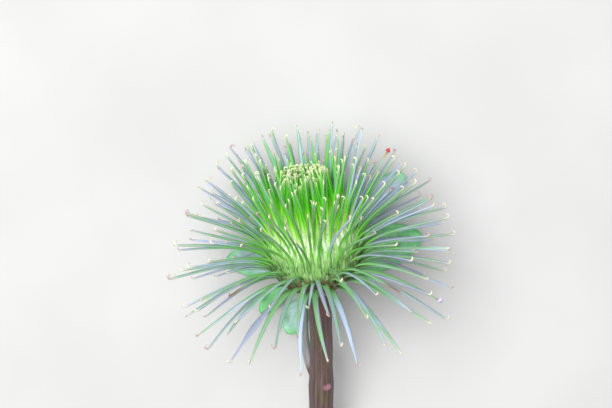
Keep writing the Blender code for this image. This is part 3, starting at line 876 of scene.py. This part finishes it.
def press(stations):
    """The least bend, as (axis, angle), that clears what is near the bract; None if there is none."""
    if is_clear(stations):
        return Vector((1, 0, 0)), 0.0
    root = stations[1][0]
    reach = (stations[-1][0] - root).length
    ahead = (stations[-1][0] - root).normalized()
    level = ahead.cross(Vector((0, 0, 1)))
    if level.length < NEARLY_UPRIGHT:
        level = Vector((1, 0, 0))
    level.normalize()
    for i in range(1, round(MOST_SWING / SWING_STEP)):
        for j in range(SWING_WAYS):
            spread = (j + 1) // 2 * (1 if j % 2 else -1)
            axis = Matrix.Rotation(spread * math.pi / SWING_WAYS, 3, ahead) @ level
            bent = [stations[0]] + swung(stations[1:], root, reach, axis, i * SWING_STEP)
            if is_clear(bent):
                return axis, i * SWING_STEP
    return None


def lit_front(plan):
    """1 for the slim, fresh bracts on the upper side of the body, 0 for those round the sides and below."""
    return smooth(*LIT_SIDE, -math.sin(plan["turn"])) * (1.0 - smooth(*LIT_ROOTS, plan["root"]))


def wax_and_sky_chance(plan, drawn):
    """A bract's own chance of wax and painted sky reflection: low on the fresh upper side, high where the
    inner faces show behind.
    """
    fresh = drawn * (1.0 - FRESH_SHARE * lit_front(plan))
    return 1.0 - (1.0 - fresh) * (1.0 - WAXY_SHARE * smooth(*FAR_SIDE, math.sin(plan["turn"])))


def base_rings(shaft, breadth):
    """The flat base that clasps the body, or the sunk root of a bract close to the crown."""
    plan = shaft.plan
    rings = []
    for i in range(BASE_STEPS):
        t = i / BASE_STEPS
        if plan["root"] > BASE_FROM:
            down = min(LOWEST_BASE, plan["root"] + BASE_LENGTH * (1.0 - t))
            spot = body_point(down, BASE_SINK * (1.0 - t) ** 2)
            angle = down - math.pi / 2
        else:
            spot = body_point(plan["root"], SINK * (1.0 - t))
            angle = plan["end"] - plan["bend"]
        width = between(BLADE_WIDTHS, t - 1.0) * breadth
        thickness = between(BLADE_THICKNESSES, t - 1.0)
        rings.append(placed(shaft.frame(spot.x, 0.0, spot.y, angle), width, thickness))
    return rings


def shaft_rings(shaft, breadth, web):
    """The tapering shaft, which turns as its hook does. A web widens it to a flat blade part of the way."""
    plan = shaft.plan
    rings = []
    for share in SHAFT_SHARES:
        centre, ahead, inward = shaft.at(share)
        inward = Matrix.Rotation(plan["twist"] * smooth(TWIST_FROM, 1.0, share), 3, ahead) @ inward
        flat = 1.0 + web * math.exp(-(((share - WEB_AT) / WEB_SPAN) ** 2))
        narrow = 1.0 - LOW_TAPER * smooth(*LOW_TAPER_ROOTS, plan["root"]) * share
        width = between(BLADE_WIDTHS, share) * breadth * flat * narrow
        rings.append(placed((centre, ahead, inward), width, between(BLADE_THICKNESSES, share)))
    return rings


def hook_rings(shaft, chance, curl, tip):
    """The round hook, closed more or less by chance. A red or a downy tip is swollen."""
    radius = HOOK_RADIUS * curl * (0.70 + 0.30 * chance)
    swell = TIP_SWELL if tip in (RED_TIP, DOWNY_TIP) else 1.0
    rings = []
    for share in HOOK_SHARES:
        degrees = share * (MOST_CURL - CURL_SPREAD * (chance * 7.0 % 1.0))
        width = between(HOOK_WIDTHS, share) * (0.6 + 0.4 * curl) * swell
        rings.append(placed(shaft.at_hook(degrees, radius), width, 2.0 * width))
    return rings


def add_bract(mesh, plan, chance, breadth, curl=1.0, tip=0.0, web=0.0):
    """One needle from its base to its hook, left out where no bend clears what is near it."""
    shaft = Shaft(plan)
    coarse = cad_stations(shaft)
    bend = press(coarse)
    if bend is None:
        return
    root = coarse[1][0]
    reach = (coarse[-1][0] - root).length
    free = shaft_rings(shaft, breadth, web) + hook_rings(shaft, chance, curl, tip)
    rings = base_rings(shaft, breadth) + swung(free, root, reach, *bend)
    rank = plan["root"] / LAST_ROOT
    home = head_matrix().inverted()
    previous = None
    length = 0.0
    behind = rings[0][0]
    for run, ring in zip(RING_RUNS, rings):
        centre, width = ring[0], ring[3]
        length += (centre - behind).length * MM
        behind = centre
        height = (home @ centre).z * MM
        previous = mesh.follow(
            previous,
            ring_points(ring, SECTION),
            growth=[(run, rank, chance + tip)] * len(SECTION),
            grain=[(x * width * MM, length, height) for x, _ in SECTION],
        )
    mesh.cap(previous, len(SECTION), last=True)


def has_tip(chance, tip):
    return chance.rise(tip - TIP_EDGE[0], tip - TIP_EDGE[1])


def greened(colour, run, rank, chance, across):
    """Lime over the base, a muted green towards the hook, and painted shade where the bases meet."""
    lime = chance.redrawn(5.3).rise(0.25, 0.60) * run.fall(-0.02, 0.12) * 0.50
    lime = lime.larger(run.fall(-0.22, -0.06) * 0.85)
    colour = lime.mix(colour, FOOT_LIME)
    before_hook = run.fall(0.92, 1.02)
    muted = rank.rise(0.27, 0.33) * run.rise(0.50, 0.90) * before_hook * 0.55
    muted = muted.larger(rank.rise(0.70, 0.86) * before_hook * 0.58)
    colour = muted.mix(colour, MUTED_GREEN)
    # painted shade between the bases, darker towards their edges
    seam_shade = across.size().rise(0.13, 0.30) * run.fall(-0.06, 0.08) * 0.55
    return seam_shade.mix(colour, SEAM_SHADE_GREEN)


def wax_and_sky_tinted(colour, run, rank, chance, across, patches, bloom):
    """Wax in patches along a bract's shaft, more on one side, with painted sky reflection in it: green, blue
    or violet, and frosted on a few.
    """
    one_side = (across * (chance - 0.5).sign()).rise(-0.30, 0.30) * 0.30
    wax_and_sky = (patches + chance * 0.50 + rank * 0.35 + one_side - 0.62).rise(0.36, 0.66)
    along = run.rise(0.08, 0.42) * run.fall(0.94, 1.04)
    wax_and_sky = wax_and_sky * along * rank.rise(0.29, 0.40) * bloom
    # painted reflection: the tints are the wax's own colour with sky light reflected off it painted in
    kind = chance.redrawn(3.7)
    tint = kind.rise(0.15, 0.35).mix(WAX_AND_SKY_GREEN, WAX_AND_SKY_BLUE)
    tint = kind.rise(0.70, 0.80).mix(tint, WAX_AND_SKY_VIOLET)
    tint = chance.rise(0.94, 0.96).mix(tint, WAX_AND_SKY_FROST)
    return wax_and_sky.mix(colour, tint)


def foot_shaded(colour, run, chance, height, blotches, bloom):
    """Painted shade low on the body, a painted highlight on some bases above that, and brown round the stem.
    """
    foot = run.fall(0.02, 0.16)
    # painted shade: the bases darken low on the body, in blotches darker still
    shaded = height.fall(2.4, 5.2) * foot * (0.55 + blotches.rise(0.35, 0.60) * 0.40)
    colour = shaded.mix(colour, SHADED_GREEN)
    dark_shade = height.fall(0.8, 4.4) * foot * blotches.rise(0.42, 0.60) * 0.80
    colour = dark_shade.mix(colour, DARK_SHADE_GREEN)
    # painted highlight: white spots on some bases higher up on the body
    highlight = height.rise(4.0, 5.4) * run.fall(0.0, 0.10) * run.rise(-0.16, -0.04)
    highlight = highlight * chance.redrawn(5.3).fall(0.35, 0.55) * bloom * 0.8
    colour = highlight.mix(colour, HIGHLIGHT_WHITE)
    old = height.fall(-1.5, 0.3) * run.fall(-0.10, 0.05) * 0.92
    return old.mix(colour, OLD_BROWN)


def hook_coloured(colour, run, rank, chance, bloom):
    """Paler hooks at the edge of the brush, mauve ones on some outer bracts, and cream in the ring."""
    pale = rank.rise(0.29, 0.34) * rank.fall(0.44, 0.50) * run.rise(0.94, 1.02) * 0.65
    colour = pale.mix(colour, PALE_HOOK)
    outside = rank.rise(0.28, 0.31)
    mauve = chance.redrawn(9.1).rise(0.66, 0.80) * run.rise(0.94, 1.04) * outside * bloom * 0.75
    colour = mauve.mix(colour, MAUVE_HOOK)
    cream = (1.0 - outside) * run.rise(0.98, 1.04) * 0.30
    return cream.mix(colour, CREAM_HOOK)


def bract_finish(name, stops, bloom, subsurface):
    """Colour that runs from the pale base, paler still with a painted glow, to the hook, with a bloom of wax
    and painted sky reflection on some of the bracts. Painted shade and highlights lie on the bases.
    """
    numbers = {"Specular IOR Level": 0.35, "Subsurface Scale": 0.0005, "Subsurface Weight": subsurface}
    material, dye = new_finish(name, numbers)
    run, rank, chance = dye.split("growth")
    across, length, height = dye.split("grain")
    downy = has_tip(chance, DOWNY_TIP)
    withered = has_tip(chance, WITHERED_TIP) - downy
    red = has_tip(chance, RED_TIP) - withered - downy
    chance = chance - red * RED_TIP - withered * WITHERED_TIP - downy * DOWNY_TIP
    own = chance * 57.0
    streaks = dye.cloud(dye.vector(across * 7.0, length * 0.35, own), 1.0, 4.0, 0.6)
    patches = dye.cloud(dye.vector(across * 0.6, length * 0.30, own), 1.0, 2.0)
    blotches = dye.cloud(dye.vector(across * 2.0, length * 0.9, own + 3.0), 1.0, 2.0)
    place = (run + BASE_RUN + (patches - 0.5) * 0.10) / (1.0 + BASE_RUN + HOOK_RUN)
    colour = dye.node("ShaderNodeValToRGB", {"stops": stops}, {0: place})
    colour = greened(colour, run, rank, chance, across)
    colour = wax_and_sky_tinted(colour, run, rank, chance, across, patches, bloom)
    keel = across.size().fall(0.02, 0.12) * run.fall(0.0, 0.3) * 0.35
    colour = keel.mix(colour, KEEL_GREEN)
    streaked = streaks.rise(0.3, 0.75) * run.fall(0.95, 1.0) * (run + 0.5).rise(0.3, 0.8) * 0.22
    colour = streaked.mix(colour, STREAK_GREEN)
    colour = foot_shaded(colour, run, chance, height, blotches, bloom)
    colour = hook_coloured(colour, run, rank, chance, bloom)
    colour = (red * run.rise(0.86, 0.94)).mix(colour, RED_NECK)
    colour = (red * run.rise(1.0, 1.05)).mix(colour, RED_BEAD)
    colour = (withered * run.rise(0.70, 0.90) * 0.85).mix(colour, WITHERED_BROWN)
    colour = (downy * run.rise(0.98, 1.04)).mix(colour, DOWN_SPECK)
    wear(material, colour, 0.42 + streaks * 0.22, streaks, 0.00004)
    return material


# Bracts with a look of their own, by their number in the spiral: the red, withered and downy tips, the
# frosted one in front, the one with a flat web, and the plain green and blue-white ones that hang
OWN_LOOKS = {
    8: {"chance": 0.62, "tip": RED_TIP, "curl": 0.6},
    75: {"tip": WITHERED_TIP},
    86: {"tip": WITHERED_TIP},
    115: {"tip": DOWNY_TIP, "curl": 0.7},
    44: {"chance": 0.95, "breadth": 0.80},
    143: {"chance": 0.81, "web": 0.9},
    138: {"chance": 0.96},
    133: {"chance": 0.97},
    125: {"chance": 0.24},
    104: {"chance": 0.20},
    117: {"chance": 0.86},
    112: {"chance": 0.60},
    120: {"chance": 0.45},
}
OUTER_BREADTH = 0.80
FRONT_SLIMMER = 0.40
LOWER_BROADER = ((0.20, 1.4, 1.7), (0.45, 1.7, 2.3))
LOOKS_SEED = 7

# The shorter bracts between the others, which the CAD leaves out
MORE_TURN = 1.1
MORE_OUTER_COUNT = 50
MORE_OUTER_RANGE = (math.radians(68.0), math.radians(118.0))
MORE_OUTER_SEED = 23
MORE_OUTER_BREADTH = 0.78
MORE_REACH = (0.62, 0.34)
MOST_IN_FRONT = 0.3
# The first two stops are the pale bases, paler still with a painted glow of light through the body
OUTER_STOPS = (
    (0.00, (0.84, 0.96, 0.78)),
    (0.19, (0.76, 0.96, 0.58)),
    (0.28, (0.190, 0.58, 0.060)),
    (0.44, (0.130, 0.44, 0.075)),
    (0.68, (0.20, 0.42, 0.22)),
    (0.78, (0.34, 0.50, 0.33)),
    (0.86, (0.56, 0.56, 0.42)),
    (1.00, (0.76, 0.64, 0.52)),
)


def outer_breadth(plan):
    """Breadth of an outer bract beside the usual one: slim on the lit side, broader the lower it grows."""
    breadth = OUTER_BREADTH - FRONT_SLIMMER * lit_front(plan)
    for more, high, low in LOWER_BROADER:
        breadth += more * smooth(high, low, plan["root"])
    return breadth


draw = random.Random(SEED)
inner_plans = bract_plan(RING_COUNT, RING_RANGE, draw) + bract_plan(INNER_COUNT, INNER_RANGE, draw)
outer_plans = bract_plan(OUTER_COUNT, OUTER_RANGE, draw)
looks = random.Random(LOOKS_SEED)
outer_mesh = Mesh("growth", "grain")
for number, plan in enumerate(outer_plans):
    own = {"chance": wax_and_sky_chance(plan, looks.random()), "breadth": outer_breadth(plan)}
    add_bract(outer_mesh, plan, **(own | OWN_LOOKS.get(number, {})))
for plan in bract_plan(MORE_OUTER_COUNT, MORE_OUTER_RANGE, random.Random(MORE_OUTER_SEED), MORE_TURN):
    if lit_front(plan) > MOST_IN_FRONT:
        continue
    plan["reach"] *= MORE_REACH[0] + MORE_REACH[1] * looks.random()
    add_bract(outer_mesh, plan, wax_and_sky_chance(plan, looks.random()), MORE_OUTER_BREADTH)
outer_finish = bract_finish("sea_green_bracts", OUTER_STOPS, 0.85, 0.05)
outer_mesh.make("outer_needles", outer_finish, "outer_bracts")

# The inner bracts: a dense upright brush of thinner, bright yellow-green needles round the crown.
# The innermost end together in a ring of cream hooks, with the dark eye of the bud inside it.

INNER_BREADTH = 0.78
RING_CURL = 0.52
MORE_CURL = 0.20
RING_EDGE = (0.66, 0.80)

# The further inner bracts: how many, and between which angles from the crown
MORE_FAMILIES = ((84, 20.0, 39.0), (80, 40.0, 69.0), (56, 33.0, 39.0))
MORE_INNER_SEED = 12
MORE_INNER_BREADTH = 0.72
LONGEST_SHARE = 0.99
SHORTEST_SHARE = 0.93
MORE_SHORTER = 0.20
# The first two stops are the pale bases, paler still with a painted glow of light through the body
INNER_STOPS = (
    (0.00, (0.86, 0.96, 0.72)),
    (0.25, (0.76, 0.97, 0.42)),
    (0.37, (0.320, 0.86, 0.050)),
    (0.53, (0.085, 0.58, 0.015)),
    (0.74, (0.110, 0.52, 0.030)),
    (0.83, (0.26, 0.58, 0.13)),
    (0.89, (0.62, 0.70, 0.38)),
    (1.00, (0.80, 0.76, 0.54)),
)


def curl_at(root):
    """Size of a hook beside the outer bracts' hooks: smallest in the crown's ring."""
    return RING_CURL + MORE_CURL * smooth(*RING_EDGE, root)


inner_mesh = Mesh("growth", "grain")
for plan in inner_plans:
    chance = wax_and_sky_chance(plan, looks.random())
    add_bract(inner_mesh, plan, chance, INNER_BREADTH, curl_at(plan["root"]))
more_draw = random.Random(MORE_INNER_SEED)
for count, low, high in MORE_FAMILIES:
    for plan in bract_plan(count, (math.radians(low), math.radians(high)), more_draw, MORE_TURN):
        shortest = SHORTEST_SHARE - MORE_SHORTER * smooth(*RING_EDGE, plan["root"])
        plan["reach"] *= shortest + (LONGEST_SHARE - shortest) * looks.random()
        chance = wax_and_sky_chance(plan, looks.random())
        add_bract(inner_mesh, plan, chance, MORE_INNER_BREADTH, curl_at(plan["root"]))
inner_finish = bract_finish("fresh_green_bracts", INNER_STOPS, 0.80, 0.15)
inner_mesh.make("inner_needles", inner_finish, "inner_bracts")

# The surface that the picked head lies on: a plain pale table top, far wider than the view.
# It isn't part of the object, and its top is at height 0.

FLOOR_HALF = 1.5
FLOOR_CORNERS = ((-1, -1), (1, -1), (1, 1), (-1, 1))
FLOOR_GREYS = ((0.47, 0.47, 0.465), (0.50, 0.50, 0.495))


def make_floor():
    data = bpy.data.meshes.new("table_top")
    corners = [(x * FLOOR_HALF, y * FLOOR_HALF, 0.0) for x, y in FLOOR_CORNERS]
    data.from_pydata(corners, [], [(0, 1, 2, 3)])
    material, dye = new_finish("table_paint", {"Roughness": 0.7})
    where = dye.node("ShaderNodeTexCoord", output="Object")
    colour = dye.cloud(where, 40.0, 2.0).rise(0.3, 0.7).mix(*FLOOR_GREYS)
    wear(material, colour)
    data.materials.append(material)
    floor = put("table_top", data)


make_floor()

# Soft studio light: a broad lamp above the crown's side, a weaker one opposite, and a pale room.
# Both lamps face the head. Each row has a lamp's name, place, size and power.

LAMPS = (
    ("key_lamp", Vector((-0.12, 0.12, 0.55)), 0.34, 5.6),
    ("fill_lamp", Vector((0.45, -0.15, 0.40)), 0.60, 0.8),
)
ROOM_LIGHT = 0.20
ROOM_COLOUR = (0.95, 0.97, 1.0, 1.0)

for name, place, size, power in LAMPS:
    lamp = bpy.data.lights.new(name, "AREA")
    lamp.size = size
    lamp.energy = power
    stand = put(name, lamp)
    stand.location = place
    stand.rotation_euler = (HEAD_CENTRE - place).to_track_quat("-Z", "Y").to_euler()
room = bpy.data.worlds.new("pale_room")
room.use_nodes = True
glow = room.node_tree.nodes["Background"].inputs
glow["Color"].default_value = ROOM_COLOUR
glow["Strength"].default_value = ROOM_LIGHT
bpy.context.scene.world = room
bpy.context.scene.view_settings.view_transform = "Standard"

# The camera looks down on the head from 25 degrees above its widest line, with the crown at the top.
# The photo shows the head's centre at HEAD_PIXEL, and 0.15 mm of it on each pixel there.

CAMERA_LEAN = math.radians(5.0)
CAMERA_DISTANCE = 0.255
IMAGE_SIZE = (612, 408)
HEAD_PIXEL = (315, 262)
PIXEL_SIZE = 0.00015
SENSOR = 36.0

back = Vector((0, math.sin(CAMERA_LEAN), math.cos(CAMERA_LEAN)))
up = Vector((0, math.cos(CAMERA_LEAN), -math.sin(CAMERA_LEAN)))
right = up.cross(back)
shift_right = (HEAD_PIXEL[0] - IMAGE_SIZE[0] / 2) * PIXEL_SIZE
shift_down = (HEAD_PIXEL[1] - IMAGE_SIZE[1] / 2) * PIXEL_SIZE
target = HEAD_CENTRE - right * shift_right + up * shift_down
lens = bpy.data.cameras.new("camera")
lens.sensor_width = SENSOR
lens.lens = SENSOR * CAMERA_DISTANCE / (IMAGE_SIZE[0] * PIXEL_SIZE)
lens.clip_start = 0.01
camera = put("camera", lens)
stance = Matrix((right, up, back)).transposed().to_4x4()
stance.translation = target + back * CAMERA_DISTANCE
camera.matrix_world = stance
bpy.context.scene.camera = camera
